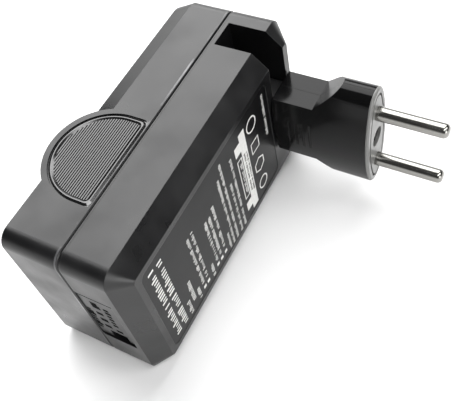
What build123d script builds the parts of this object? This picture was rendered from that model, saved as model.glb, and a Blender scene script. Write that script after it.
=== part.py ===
from build123d import *
import os

# Camera battery charger lying on its lower long side, with a push-on round-pin mains adapter.
# X runs from the jack end to the plug end, -Y is the label and plug side, +Y the battery side.
# The origin is the middle of the overall box at the height of the surface it lies on.
# All sizes are millimetres.

# Housing
housing_length = 88.0
housing_width = 49.5
rear_depth = 17.4            # label face to parting plane
front_depth = 16.4           # parting plane to battery face
wall = 2.0
corner_radius = 4.0
label_chamfer = 4.5
label_corner_radius = 1.2
parting_bevel = 0.3
lip_width = 0.8              # stepped rim of the rear housing at the parting plane
lip_inset = 0.15
lap_height = 1.0             # tongue of the front housing inside the rear rim
lap_wall = 0.9
lap_clearance = 0.1
bevel_length = 4.5           # shallow bevel round the plug half of the battery face
bevel_inset = 1.2
bevel_corner_radius = 5.0

# Battery bay, its plate and the finger ears beside it
bay_start = 8.0              # jack end to battery bay
bay_length = 52.0
bay_depth = 6.0
bay_rim = 2.6                # side face to battery bay window
plate_wall = 1.5
plate_clearance = 0.1
flange_width = 1.2
ear_radius = 15.5
ear_setback = 29.3           # jack end to ear centre
ear_rise = 5.9               # parting plane to ear arc centre
bead_gap = 1.9               # ear edge to bead
bead_width = 1.35
bead_groove = 0.3            # groove round the bead
bead_height = 0.4
bead_slope_width = 0.55      # slope on each side of the bead
bead_slope_height = 0.35
bead_rise = 0.95             # parting plane to the foot of the bead
bead_foot_radius = 1.6
inset_depth = 0.65           # side face to the floor between the ridges
ridge_pitch = 0.66
ridge_width = 0.34
ridge_height = 0.45

# Label and jack panel
label_start = 6.5            # jack end to label
label_length = 63.0
label_width = 37.0
label_recess = 0.3
label_thickness = 0.2
label_radius = 2.0
panel_width = 23.4
panel_start = 6.2            # label face to jack panel
panel_recess = 0.5
panel_slit = 0.5
panel_slit_length = 7.5
panel_slit_depth = 1.1
panel_groove = 0.3           # groove along the panel's head and label side
panel_groove_depth = 0.9
jack_width = 5.2
jack_height = 3.8
jack_body_length = 9.0
jack_body_width = 7.2
jack_body_height = 6.0
jack_hole_depth = 7.0
jack_tongue_width = 2.6
jack_tongue_height = 1.2

# Fold-away flat plug
plug_setback = 11.2          # plug axis to plug end
slot_width = 8.5
pocket_wall = 1.4
drum_rim = 0.35              # drum edge to the blades set in it
drum_clearance = 0.3
drum_side_clearance = 0.2
pivot_diameter = 2.5
pivot_clearance = 0.05
blade_width = 6.3
blade_thickness = 1.5
blade_spacing = 12.7
blade_reach = 16.3
blade_root = 2.6             # blade end behind the pivot
blade_nick = 0.5
blade_hole = 3.0
blade_hole_setback = 4.0     # blade tip to its hole
spring_setback = 2.5         # board end to the spring's foot
spring_thickness = 0.4
spring_width = 1.3
spring_gap = 0.05
spring_overlap = 1.6         # spring end past the plug axis

# Round-pin adapter
adapter_reach = 28.3         # label face to pin face
seat_gap = 0.4               # adapter to label face
base_length = 12.2
base_height = 21.0
crown_start = 19.0           # label face to the full height of the adapter head
head_height = 35.3
head_thickness = 13.7
head_end_radius = 4.6
face_chamfer = 0.45
seam_groove = 0.45
rim_width = 1.2
face_groove_inset = 1.6      # head's side to the groove round the pin face
face_groove = 0.6
face_groove_depth = 0.6
cap_thickness = 0.8          # carrier flange over the half shells
carrier_depth = 5.8
carrier_clearance = 0.25
pin_diameter = 4.0
pin_spacing = 19.0
pin_length = 19.0
pin_tip_radius = 1.4
pin_shank_diameter = 3.0     # inside the carrier
screw_recess_diameter = 5.8
screw_recess_depth = 4.0
screw_head_diameter = 5.0
screw_head_height = 3.2
screw_diameter = 2.6
screw_length = 9.0
screw_slot = 0.8
screw_slot_depth = 0.8
socket_leaf = 0.5
socket_width = 5.4
socket_mouth = 4.0           # label face to the socket leaves
socket_back = 20.0           # label face to the socket back plate
socket_plate_reach = 2.0     # back plate past the pin axis
socket_room = 0.5
blade_room = 0.2
grip_count = 4
grip_pitch = 2.0
grip_width = 0.7
grip_depth = 0.25
grip_height = 10.0
grip_start = 5.0             # label face to the first grip groove

# Circuit board and its pieces
board_rise = 6.4             # label face to board
board_thickness = 1.6
board_margin = 0.9
board_corner_radius = 1.0
post_diameter = 4.0
post_inset = 5.0
pocket_gap = 1.0             # board to plug pocket
core_length = 17.0
core_height = 13.0
core_thickness = 5.6
core_window = 3.9
core_yoke = 2.4
core_leg = 4.4
bobbin_wall = 0.7
bobbin_base = 2.4
bobbin_depth = 14.0
bobbin_radius = 0.9
winding_clearance = 0.2
winding_radius = 1.7
lead_diameter = 0.7
lead_standoff = 1.2          # board to a piece held on its leads
can_groove = 0.4
can_groove_rise = 1.5
mains_can_diameter = 9.0
mains_can_height = 14.0
output_can_diameter = 6.3
output_can_height = 11.0
fuse_diameter = 3.2
fuse_length = 6.0
diode_diameter = 3.6
diode_length = 6.4
axial_chamfer = 0.4
leg_thickness = 0.3
leg_width = 0.5
leg_reach = 1.0
rectifier_length = 4.7
rectifier_width = 3.9
rectifier_height = 2.4
rectifier_pitch = 2.5
rectifier_pairs = 2          # legs on each side
chip_length = 4.9
chip_width = 3.9
chip_height = 1.4
chip_pitch = 1.27
chip_pairs = 4
coupler_length = 4.6
coupler_width = 6.4
coupler_height = 3.5
coupler_pitch = 2.54
coupler_pairs = 2
contact_count = 3
contact_pitch = 6.0
contact_width = 2.4
contact_thickness = 0.4
contact_leaf = 5.0
contact_rise = 1.4
contact_setback = 4.0        # bay end to the contact strips
contact_clearance = 0.2
disc_diameter = 8.0
disc_thickness = 3.4
disc_chamfer = 1.0
disc_lead_pitch = 4.0
choke_diameter = 8.0
choke_height = 10.0
choke_flange = 1.2
choke_waist = 0.6
transistor_diameter = 4.8
transistor_flat = 1.2        # case axis to its flat side
transistor_height = 5.0
transistor_rise = 4.0
transistor_pitch = 1.27
pipe_diameter = 2.6
pipe_clearance = 0.05
lamp_diameter = 2.6
lamp_height = 5.2
lamp_collar = 0.3
lamp_collar_height = 0.8

# Places on the board: two rows in from its long edges, and each piece's place along it
upper_row_inset = 8.0
lower_row_inset = 6.6
lamp_setback = 1.6           # from the board's jack end
diode_setback = 14.1
output_can_setback = 14.1
chip_setback = 17.1
coupler_setback = 21.1
disc_offset = 6.0            # from the board's middle towards the jack end
rectifier_offset = 2.0       # from the board's middle towards the plug end
transistor_offset = 8.0
choke_offset = 14.5
mains_can_setback = 9.5      # from the board's plug end
fuse_setback = 2.8

# Places worked out from the sizes
ear_reach = ear_rise + ear_radius - front_depth
overall_depth = pin_length + adapter_reach + rear_depth + front_depth + ear_reach
pin_tip_y = -overall_depth / 2
face_y = pin_tip_y + pin_length
label_y = face_y + adapter_reach
part_y = label_y + rear_depth
front_y = part_y + front_depth
mid_z = housing_width / 2
jack_end_x = -housing_length / 2
plug_end_x = housing_length / 2
plug_x = plug_end_x - plug_setback
ear_x = jack_end_x + ear_setback
ear_y = part_y + ear_rise
bay_x = jack_end_x + bay_start + bay_length / 2
bay_end_x = jack_end_x + bay_start + bay_length
floor_y = front_y - bay_depth
drum_radius = (blade_spacing + blade_thickness) / 2 + drum_rim
slot_depth = 2 * (drum_radius + drum_clearance)
pivot_y = label_y + slot_depth / 2
board_y = label_y + board_rise
board_top_y = board_y + board_thickness
board_start_x = jack_end_x + wall + board_margin
board_end_x = plug_x - slot_width / 2 - pocket_wall - pocket_gap
board_x = (board_start_x + board_end_x) / 2
board_length = board_end_x - board_start_x
board_width = housing_width - 2 * (wall + board_margin)
upper_row_z = mid_z + board_width / 2 - upper_row_inset
lower_row_z = mid_z - board_width / 2 + lower_row_inset
miter = wall * (2**0.5 - 1)
inner_radius = corner_radius - wall + lap_wall


def outline(y, inset, radius):
    with BuildSketch(Plane.XZ.offset(-y)) as section:
        with Locations((0, mid_z)):
            RectangleRounded(housing_length - 2 * inset, housing_width - 2 * inset, radius)
    return section.sketch


def ear_outline(z, inset, foot, foot_radius=0.0):
    radius = ear_radius - inset
    with BuildSketch(Plane.XY.offset(z)) as section:
        with Locations((ear_x, ear_y)):
            Circle(radius)
        with Locations((ear_x, foot)):
            Rectangle(2 * radius, ear_y - foot, align=(Align.CENTER, Align.MIN))
            upper_half = (Align.CENTER, Align.MIN)
            Rectangle(2 * radius, ear_y - foot + radius, align=upper_half, mode=Mode.INTERSECT)
        if foot_radius > 0:
            fillet(section.vertices().group_by(Axis.Y)[0], foot_radius)
    return section.sketch


def head_outline(y, shrink):
    half = head_thickness / 2 - shrink
    end = head_end_radius - shrink
    straight = head_height / 2 - head_end_radius
    side_radius = (straight**2 / (half - end) + half + end) / 2
    with BuildSketch(Plane.XZ.offset(-y)) as section:
        with Locations((plug_x - side_radius + half, mid_z)):
            Circle(side_radius)
        with Locations((plug_x + side_radius - half, mid_z)):
            Circle(side_radius, mode=Mode.INTERSECT)
        fillet(section.vertices(), end)
    return section.sketch


# Room inside the rear housing, less the plug pocket and the board posts
with BuildPart() as rear_room:
    extrude(outline(part_y, wall, inner_radius), amount=rear_depth - label_chamfer - miter)
    loft(
        [
            outline(label_y + label_chamfer + miter, wall, inner_radius),
            outline(label_y + wall, label_chamfer + miter, label_corner_radius),
        ],
        ruled=True,
    )
    pocket_foot = mid_z - slot_depth / 2 - pocket_wall
    pocket_depth = slot_depth + pocket_wall
    with BuildSketch(Plane.YZ.offset(plug_x)):
        with Locations((label_y, pocket_foot)):
            Rectangle(pocket_depth, housing_width, align=Align.MIN)
    extrude(amount=slot_width / 2 + pocket_wall, both=True, mode=Mode.SUBTRACT)

    post_span = (board_length - 2 * post_inset, board_width - 2 * post_inset)
    with BuildSketch(Plane.XZ.offset(-board_y)):
        with Locations((board_x, mid_z)):
            with GridLocations(*post_span, 2, 2):
                Circle(post_diameter / 2)
    extrude(amount=board_rise, mode=Mode.SUBTRACT)

# Rear housing: chamfered label side with the plug slot, the label recess and the jack panel
with BuildPart() as rear_housing:
    extrude(outline(part_y, lip_inset, corner_radius - lip_inset), amount=lip_width)
    chamfer(rear_housing.faces().sort_by(Axis.Y)[-1].edges(), parting_bevel)
    side_depth = rear_depth - lip_width - label_chamfer
    extrude(outline(part_y - lip_width, 0, corner_radius), amount=side_depth)
    loft(
        [
            outline(label_y + label_chamfer, 0, corner_radius),
            outline(label_y, label_chamfer, label_corner_radius),
        ],
        ruled=True,
    )
    add(rear_room.part, mode=Mode.SUBTRACT)
    rebate_inset = wall - lap_wall - lap_clearance
    with BuildSketch(Plane.XZ.offset(-part_y)):
        with Locations((0, mid_z)):
            rebate_size = (housing_length - 2 * rebate_inset, housing_width - 2 * rebate_inset)
            RectangleRounded(*rebate_size, corner_radius - rebate_inset)
            RectangleRounded(
                housing_length - 2 * wall, housing_width - 2 * wall, inner_radius, mode=Mode.SUBTRACT
            )
    extrude(amount=lap_height + lap_clearance, mode=Mode.SUBTRACT)

    # Plug slot, open to the label side and the upper side, round at its foot
    with BuildSketch(Plane.YZ.offset(plug_x)) as slot_profile:
        with Locations((label_y, mid_z - slot_depth / 2)):
            Rectangle(slot_depth, housing_width, align=Align.MIN)
        fillet(slot_profile.vertices().group_by(Axis.Z)[0].sort_by(Axis.Y)[-1], slot_depth / 2)
    extrude(amount=slot_width / 2, both=True, mode=Mode.SUBTRACT)

    # Pivot holes and the two slits for the supply springs
    with BuildSketch(Plane.YZ.offset(plug_x)):
        with Locations((pivot_y, mid_z)):
            Circle(pivot_diameter / 2)
    extrude(amount=slot_width / 2 + pocket_wall, both=True, mode=Mode.SUBTRACT)
    spring_y = pivot_y + blade_root + spring_gap
    with BuildSketch(Plane.YZ.offset(plug_x - slot_width / 2)):
        with Locations((spring_y + spring_thickness / 2, mid_z)):
            with GridLocations(0, blade_spacing, 1, 2):
                Rectangle(spring_thickness + 2 * spring_gap, spring_width + 2 * spring_gap)
    extrude(amount=-pocket_wall, mode=Mode.SUBTRACT)

    # Label recess
    label_x = jack_end_x + label_start + label_length / 2
    with BuildSketch(Plane.XZ.offset(-label_y)):
        with Locations((label_x, mid_z)):
            RectangleRounded(label_length, label_width, label_radius)
    extrude(amount=-label_recess, mode=Mode.SUBTRACT)

    # Jack panel with a slit along its foot and a groove round it, and the jack opening
    panel_foot = mid_z - panel_width / 2
    panel_depth = rear_depth - panel_start
    with BuildSketch(Plane.YZ.offset(jack_end_x)):
        with Locations((label_y + panel_start, panel_foot)):
            Rectangle(panel_depth, panel_width, align=Align.MIN)
    extrude(amount=panel_recess, mode=Mode.SUBTRACT)
    with BuildSketch(Plane.YZ.offset(jack_end_x)):
        with Locations((label_y + panel_start, panel_foot)):
            Rectangle(panel_slit_length, panel_slit, align=Align.MIN)
    extrude(amount=panel_slit_depth, mode=Mode.SUBTRACT)
    groove_run = panel_depth - lap_height - lap_clearance
    with BuildSketch(Plane.YZ.offset(jack_end_x)):
        with Locations((label_y + panel_start, panel_foot)):
            Rectangle(groove_run, panel_width, align=Align.MIN)
        with Locations((label_y + panel_start + panel_groove, panel_foot)):
            island_size = (panel_depth, panel_width - panel_groove)
            Rectangle(*island_size, align=Align.MIN, mode=Mode.SUBTRACT)
    extrude(amount=panel_groove_depth, mode=Mode.SUBTRACT)
    jack_y = board_top_y + jack_body_height / 2
    jack_z = panel_foot + jack_height / 2
    with BuildSketch(Plane.YZ.offset(jack_end_x)):
        with Locations((jack_y, jack_z)):
            Rectangle(jack_width, jack_height)
    extrude(amount=wall, mode=Mode.SUBTRACT)
rear_housing.part.label = "rear_housing"

# What the shallow bevel round the plug half of the battery face takes away
with BuildPart() as bevel_waste:
    with BuildSketch(Plane.XZ.offset(-front_y)):
        with Locations((ear_x, mid_z)):
            Rectangle(housing_length, 2 * housing_width, align=(Align.MIN, Align.CENTER))
    extrude(amount=bevel_length)
    loft(
        [
            outline(front_y - bevel_length, 0, corner_radius),
            outline(front_y, bevel_inset, bevel_corner_radius),
        ],
        ruled=True,
        mode=Mode.SUBTRACT,
    )

# Front housing: battery side, bevelled round its plug half, with a finger ear on each side
with BuildPart() as front_housing:
    extrude(outline(part_y, 0, corner_radius), amount=-front_depth)
    chamfer(front_housing.faces().sort_by(Axis.Y)[0].edges(), parting_bevel)
    extrude(outline(part_y, wall, inner_radius), amount=-(front_depth - wall), mode=Mode.SUBTRACT)
    with BuildSketch(Plane.XZ.offset(-part_y)):
        with Locations((0, mid_z)):
            tongue_inset = wall - lap_wall
            tongue_size = (housing_length - 2 * tongue_inset, housing_width - 2 * tongue_inset)
            RectangleRounded(*tongue_size, corner_radius - tongue_inset)
            RectangleRounded(
                housing_length - 2 * wall, housing_width - 2 * wall, inner_radius, mode=Mode.SUBTRACT
            )
    extrude(amount=lap_height)

    add(bevel_waste.part, mode=Mode.SUBTRACT)

    # Window for the battery plate and the hole for the light pipe
    window_width = housing_width - 2 * bay_rim
    with BuildSketch(Plane.XZ.offset(-front_y)):
        with Locations((bay_x, mid_z)):
            Rectangle(bay_length, window_width)
    extrude(amount=wall, mode=Mode.SUBTRACT)
    lamp_place = (board_start_x + lamp_setback, upper_row_z)
    with BuildSketch(Plane.XZ.offset(-front_y)):
        with Locations(lamp_place):
            Circle(pipe_diameter / 2 + pipe_clearance)
    extrude(amount=wall, mode=Mode.SUBTRACT)

    # Finger ear on each side: an arched plate with a grooved bead round a field of fine ridges
    bead_foot = part_y + bead_rise
    field_inset = bead_gap + bead_width
    field_foot = bead_foot + bead_width
    field_foot_radius = bead_foot_radius - bead_width / 2
    field_height = ear_y + ear_radius - field_inset - field_foot
    ridge_count = int(field_height / ridge_pitch)
    for side_z, inward in ((0, 1), (housing_width, -1)):
        extrude(ear_outline(side_z, 0, part_y + parting_bevel), amount=inward * bay_rim)
        with BuildSketch(Plane.XY.offset(side_z)):
            add(ear_outline(0, bead_gap - bead_groove, bead_foot - bead_groove, bead_foot_radius))
            add(ear_outline(0, bead_gap, bead_foot, bead_foot_radius), mode=Mode.SUBTRACT)
        extrude(amount=inward * bead_height, mode=Mode.SUBTRACT)
        field = ear_outline(side_z, field_inset, field_foot, field_foot_radius)
        extrude(field, amount=inward * inset_depth, mode=Mode.SUBTRACT)
        bead_crest = (ear_x, ear_y + ear_radius - bead_gap, side_z)
        bead_top = front_housing.faces().filter_by(Axis.Z).sort_by_distance(bead_crest)[0]
        chamfer(bead_top.edges(), bead_slope_width, bead_slope_height, reference=bead_top)
        with BuildSketch(Plane.XY.offset(side_z + inward * inset_depth)):
            with Locations((ear_x, field_foot + field_height / 2)):
                with GridLocations(0, ridge_pitch, 1, ridge_count):
                    Rectangle(2 * ear_radius, ridge_width)
            add(ear_outline(0, field_inset, field_foot, field_foot_radius), mode=Mode.INTERSECT)
        extrude(amount=-inward * ridge_height)
front_housing.part.label = "front_housing"

# Battery plate: open tray held under the battery face
with BuildPart() as battery_plate:
    tray_length = bay_length - 2 * plate_clearance
    tray_width = window_width - 2 * plate_clearance
    with BuildSketch(Plane.XZ.offset(-front_y)):
        with Locations((bay_x, mid_z)):
            Rectangle(tray_length, tray_width)
    extrude(amount=bay_depth + plate_wall)
    with BuildSketch(Plane.XZ.offset(-front_y)):
        with Locations((bay_x, mid_z)):
            Rectangle(tray_length - 2 * plate_wall, tray_width - 2 * plate_wall)
    extrude(amount=bay_depth, mode=Mode.SUBTRACT)
    with BuildSketch(Plane.XZ.offset(-(front_y - wall))):
        with Locations((bay_x, mid_z)):
            Rectangle(tray_length + 2 * flange_width, tray_width)
            Rectangle(tray_length, tray_width, mode=Mode.SUBTRACT)
    extrude(amount=plate_wall)

    # Slots for the battery contacts
    contact_x = bay_end_x - contact_setback
    with BuildSketch(Plane.XZ.offset(-floor_y)):
        with Locations((contact_x + contact_thickness / 2, mid_z)):
            with GridLocations(0, contact_pitch, 1, contact_count):
                slot_size = contact_thickness + 2 * contact_clearance
                Rectangle(slot_size, contact_width + 2 * contact_clearance)
    extrude(amount=plate_wall, mode=Mode.SUBTRACT)
battery_plate.part.label = "battery_plate"

# Rating label: a plain sheet in its recess
with BuildPart() as rating_label:
    with BuildSketch(Plane.XZ.offset(-(label_y + label_recess))):
        with Locations((label_x, mid_z)):
            RectangleRounded(label_length, label_width, label_radius)
    extrude(amount=label_thickness)
rating_label.part.label = "rating_label"

# Low-voltage jack: a block on the board behind the jack panel, with a socket and its tongue
with BuildPart() as dc_jack:
    jack_face_x = jack_end_x + wall
    with BuildSketch(Plane.YZ.offset(jack_face_x)):
        with Locations((jack_y, jack_z)):
            Rectangle(jack_body_height, jack_body_width)
    extrude(amount=jack_body_length)
    with BuildSketch(Plane.YZ.offset(jack_face_x)):
        with Locations((jack_y, jack_z)):
            Rectangle(jack_width, jack_height)
            Rectangle(jack_tongue_width, jack_tongue_height, mode=Mode.SUBTRACT)
    extrude(amount=jack_hole_depth, mode=Mode.SUBTRACT)
dc_jack.part.label = "dc_jack"

# Circuit board on the four posts
with BuildPart() as circuit_board:
    with BuildSketch(Plane.XZ.offset(-board_y)):
        with Locations((board_x, mid_z)):
            RectangleRounded(board_length, board_width, board_corner_radius)
    extrude(amount=-board_thickness)
circuit_board.part.label = "circuit_board"

# Transformer: ferrite frame with three legs, a bobbin round the middle leg and its winding
core_foot_y = board_top_y + bobbin_base
core_mid_y = core_foot_y + core_height / 2
window_height = core_height - 2 * core_yoke
with BuildPart() as transformer_core:
    with BuildSketch(Plane.XY.offset(mid_z)):
        with Locations((board_x, core_mid_y)):
            Rectangle(core_length, core_height)
            with GridLocations(core_leg + core_window, 0, 2, 1):
                Rectangle(core_window, window_height, mode=Mode.SUBTRACT)
    extrude(amount=core_thickness / 2, both=True)
transformer_core.part.label = "transformer_core"


def winding_section(y, grow):
    with BuildSketch(Plane.XZ.offset(-y)) as section:
        with Locations((board_x, mid_z)):
            size = (core_leg + 2 * grow, core_thickness + 2 * grow)
            RectangleRounded(*size, bobbin_radius)
            Rectangle(core_leg, core_thickness, mode=Mode.SUBTRACT)
    return section.sketch


with BuildPart() as transformer_bobbin:
    spool_grow = core_window - winding_clearance
    extrude(winding_section(core_foot_y + core_yoke, bobbin_wall), amount=-window_height)
    extrude(winding_section(core_foot_y + core_yoke, spool_grow), amount=-bobbin_wall)
    spool_top_y = core_foot_y + core_yoke + window_height
    extrude(winding_section(spool_top_y, spool_grow), amount=bobbin_wall)
    with BuildSketch(Plane.XZ.offset(-board_top_y)):
        with Locations((board_x, mid_z)):
            Rectangle(core_length - 2 * core_yoke, bobbin_depth)
    extrude(amount=-bobbin_base)
    cheek_depth = (bobbin_depth - core_thickness) / 2
    with BuildSketch(Plane.XZ.offset(-core_foot_y)):
        with Locations((board_x, mid_z)):
            with GridLocations(0, core_thickness + cheek_depth, 1, 2):
                Rectangle(core_leg, cheek_depth)
    extrude(amount=-(core_yoke + bobbin_wall))
transformer_bobbin.part.label = "transformer_bobbin"

with BuildPart() as transformer_winding:
    winding_y = core_foot_y + core_yoke + bobbin_wall
    with BuildSketch(Plane.XZ.offset(-winding_y)):
        with Locations((board_x, mid_z)):
            wound = core_window - 2 * winding_clearance
            RectangleRounded(core_leg + 2 * wound, core_thickness + 2 * wound, winding_radius)
            spool_size = (core_leg + 2 * bobbin_wall, core_thickness + 2 * bobbin_wall)
            RectangleRounded(*spool_size, bobbin_radius, mode=Mode.SUBTRACT)
    extrude(amount=-(window_height - 2 * bobbin_wall))
transformer_winding.part.label = "transformer_winding"


def board_plane(place, rise=0.0, along=(1, 0, 0)):
    return Plane((place[0], board_top_y + rise, place[1]), x_dir=along, z_dir=(0, 1, 0))


def standing_can(place, diameter, height):
    axis_x, axis_z = place
    side_x = axis_x + diameter / 2
    groove_y = board_top_y + can_groove_rise
    with BuildPart() as can:
        with BuildSketch(Plane.XY.offset(axis_z)):
            with BuildLine():
                Polyline(
                    (axis_x, board_top_y),
                    (side_x, board_top_y),
                    (side_x, groove_y),
                    (side_x - can_groove, groove_y + can_groove),
                    (side_x, groove_y + 2 * can_groove),
                    (side_x, board_top_y + height),
                    (axis_x, board_top_y + height),
                    close=True,
                )
            make_face()
        revolve(axis=Axis((axis_x, board_top_y, axis_z), (0, 1, 0)))
        chamfer(can.faces().sort_by(Axis.Y)[-1].edges(), can_groove)
    return can.part


def lying_axial(place, diameter, length, along):
    axis_rise = lead_standoff + diameter / 2
    lead_span = length + 2 * lead_standoff
    axis_plane = Plane((place[0], board_top_y + axis_rise, place[1]), z_dir=along)
    with BuildPart() as axial:
        with BuildSketch(axis_plane):
            Circle(diameter / 2)
        extrude(amount=length / 2, both=True)
        chamfer(axial.edges().filter_by(GeomType.CIRCLE), axial_chamfer)
        with BuildSketch(axis_plane):
            Circle(lead_diameter / 2)
        extrude(amount=lead_span / 2, both=True)
        with BuildSketch(board_plane(place, along=along)):
            with GridLocations(lead_span - lead_diameter, 0, 2, 1):
                Rectangle(lead_diameter, lead_diameter)
        extrude(amount=axis_rise)
    return axial.part


def moulded_package(place, length, width, height, leg_pairs, leg_pitch):
    with BuildPart() as package:
        with BuildSketch(board_plane(place, leg_thickness)):
            Rectangle(length, width)
        extrude(amount=height)
        chamfer(package.faces().sort_by(Axis.Y)[-1].edges(), leg_thickness)
        with BuildSketch(board_plane(place)):
            with GridLocations(leg_pitch, 0, leg_pairs, 1):
                Rectangle(leg_width, width + 2 * leg_reach)
        extrude(amount=leg_thickness)
    return package.part


mains_can_place = (board_end_x - mains_can_setback, lower_row_z)
mains_capacitor = standing_can(mains_can_place, mains_can_diameter, mains_can_height)
mains_capacitor.label = "mains_capacitor"

output_can_place = (board_start_x + output_can_setback, upper_row_z)
output_capacitor = standing_can(output_can_place, output_can_diameter, output_can_height)
output_capacitor.label = "output_capacitor"

fuse_place = (board_end_x - fuse_setback, lower_row_z)
fuse = lying_axial(fuse_place, fuse_diameter, fuse_length, (0, 0, 1))
fuse.label = "fuse"

diode_place = (board_start_x + diode_setback, lower_row_z)
output_diode = lying_axial(diode_place, diode_diameter, diode_length, (1, 0, 0))
output_diode.label = "output_diode"

rectifier_place = (board_x + rectifier_offset, lower_row_z)
rectifier_size = (rectifier_length, rectifier_width, rectifier_height)
bridge_rectifier = moulded_package(rectifier_place, *rectifier_size, rectifier_pairs, rectifier_pitch)
bridge_rectifier.label = "bridge_rectifier"

chip_place = (board_start_x + chip_setback, mid_z)
chip_size = (chip_length, chip_width, chip_height)
control_chip = moulded_package(chip_place, *chip_size, chip_pairs, chip_pitch)
control_chip.label = "control_chip"

coupler_place = (board_start_x + coupler_setback, upper_row_z)
coupler_size = (coupler_length, coupler_width, coupler_height)
opto_coupler = moulded_package(coupler_place, *coupler_size, coupler_pairs, coupler_pitch)
opto_coupler.label = "opto_coupler"

# Safety capacitor: a dipped disc standing on two leads
with BuildPart() as safety_capacitor:
    disc_place = (board_x - disc_offset, lower_row_z)
    disc_rise = lead_standoff + disc_diameter / 2
    with BuildSketch(Plane.XY.offset(lower_row_z)):
        with Locations((disc_place[0], board_top_y + disc_rise)):
            Circle(disc_diameter / 2)
    extrude(amount=disc_thickness / 2, both=True)
    chamfer(safety_capacitor.edges().filter_by(GeomType.CIRCLE), disc_chamfer)
    with BuildSketch(board_plane(disc_place)):
        with GridLocations(disc_lead_pitch, 0, 2, 1):
            Rectangle(lead_diameter, lead_diameter)
    extrude(amount=disc_rise)
safety_capacitor.part.label = "safety_capacitor"

# Noise choke: a drum core with its winding in the waist
with BuildPart() as noise_choke:
    choke_place = (board_x + choke_offset, upper_row_z)
    for flange_rise in (0, choke_height - choke_flange):
        with BuildSketch(board_plane(choke_place, flange_rise)):
            Circle(choke_diameter / 2)
        extrude(amount=choke_flange)
    with BuildSketch(board_plane(choke_place)):
        Circle(choke_diameter / 2 - choke_waist)
    extrude(amount=choke_height)
noise_choke.part.label = "noise_choke"

# Switching transistor: a half-round case on three legs
with BuildPart() as switching_transistor:
    transistor_place = (board_x + transistor_offset, lower_row_z)
    with BuildSketch(board_plane(transistor_place, transistor_rise)):
        Circle(transistor_diameter / 2)
        with Locations((0, -transistor_flat)):
            flat_side = (Align.CENTER, Align.MIN)
            Rectangle(transistor_diameter, transistor_diameter, align=flat_side, mode=Mode.INTERSECT)
    extrude(amount=transistor_height)
    with BuildSketch(board_plane(transistor_place)):
        with GridLocations(transistor_pitch, 0, 3, 1):
            Rectangle(lead_diameter, lead_diameter)
    extrude(amount=transistor_rise)
switching_transistor.part.label = "switching_transistor"

# Charge lamp on the board and the light pipe that carries its light to the battery face
with BuildPart() as charge_lamp:
    with BuildSketch(board_plane(lamp_place)):
        Circle(lamp_diameter / 2 + lamp_collar)
    extrude(amount=lamp_collar_height)
    with BuildSketch(board_plane(lamp_place)):
        Circle(lamp_diameter / 2)
    extrude(amount=lamp_height)
charge_lamp.part.label = "charge_lamp"

with BuildPart() as light_pipe:
    with BuildSketch(board_plane(lamp_place, lamp_height)):
        Circle(pipe_diameter / 2)
    extrude(amount=front_y - board_top_y - lamp_height)
light_pipe.part.label = "light_pipe"

# Battery contacts: strips that stand on the board and end in sprung leaves above the plate
with BuildPart() as battery_contacts:
    leaf_y = floor_y + contact_rise
    leaf_mid_x = contact_x - contact_leaf / 2
    leaf_tip_x = contact_x - contact_leaf
    strip_side_x = contact_x + contact_thickness
    for row in range(contact_count):
        row_z = mid_z + (row - (contact_count - 1) / 2) * contact_pitch
        with BuildSketch(Plane.XY.offset(row_z)):
            with BuildLine():
                Polyline(
                    (strip_side_x, board_top_y),
                    (strip_side_x, leaf_y + contact_thickness),
                    (leaf_mid_x, leaf_y + contact_rise + contact_thickness),
                    (leaf_tip_x, leaf_y + contact_thickness),
                    (leaf_tip_x, leaf_y),
                    (leaf_mid_x, leaf_y + contact_rise),
                    (contact_x, leaf_y),
                    (contact_x, board_top_y),
                    close=True,
                )
            make_face()
        extrude(amount=contact_width / 2, both=True)
battery_contacts.part.label = "battery_contacts"

# Plug drum: turns on its pivot in the slot, square at its nose and round behind
with BuildPart() as plug_drum:
    drum_width = slot_width - 2 * drum_side_clearance
    blade_z = blade_spacing / 2
    with BuildSketch(Plane.YZ.offset(plug_x)):
        with Locations((pivot_y, mid_z)):
            Circle(drum_radius)
            Rectangle(drum_radius, 2 * drum_radius, align=(Align.MAX, Align.CENTER))
            Circle(pivot_diameter / 2 + pivot_clearance, mode=Mode.SUBTRACT)
        spring_notch = 2 * (drum_radius - blade_z + spring_width)
        with Locations((pivot_y + blade_root, mid_z)):
            with GridLocations(0, 2 * drum_radius, 1, 2):
                notch_align = (Align.MIN, Align.CENTER)
                Rectangle(drum_radius, spring_notch, align=notch_align, mode=Mode.SUBTRACT)
    extrude(amount=drum_width / 2, both=True)
    with BuildSketch(Plane.XZ.offset(-(pivot_y + blade_root))):
        with Locations((plug_x, mid_z)):
            with GridLocations(0, blade_spacing, 1, 2):
                Rectangle(blade_width, blade_thickness)
    extrude(amount=slot_depth, mode=Mode.SUBTRACT)
plug_drum.part.label = "plug_drum"

# Two flat blades set in the drum
with BuildPart() as plug_blades:
    blade_tip_y = label_y - blade_reach
    blade_end_y = pivot_y + blade_root
    with BuildSketch(Plane.XZ.offset(-blade_end_y)):
        with Locations((plug_x, mid_z)):
            with GridLocations(0, blade_spacing, 1, 2):
                Rectangle(blade_width, blade_thickness)
    extrude(amount=blade_end_y - blade_tip_y)
    chamfer(plug_blades.faces().group_by(Axis.Y)[0].edges(), blade_nick)
    with BuildSketch():
        with Locations((plug_x, blade_tip_y + blade_hole_setback)):
            Circle(blade_hole / 2)
    extrude(amount=housing_width, mode=Mode.SUBTRACT)
plug_blades.part.label = "plug_blades"

# Pivot pin, held in the pocket's side walls
with BuildPart() as drum_pivot:
    with BuildSketch(Plane.YZ.offset(plug_x)):
        with Locations((pivot_y, mid_z)):
            Circle(pivot_diameter / 2)
    extrude(amount=slot_width / 2 + pocket_wall, both=True)
drum_pivot.part.label = "drum_pivot"

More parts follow.
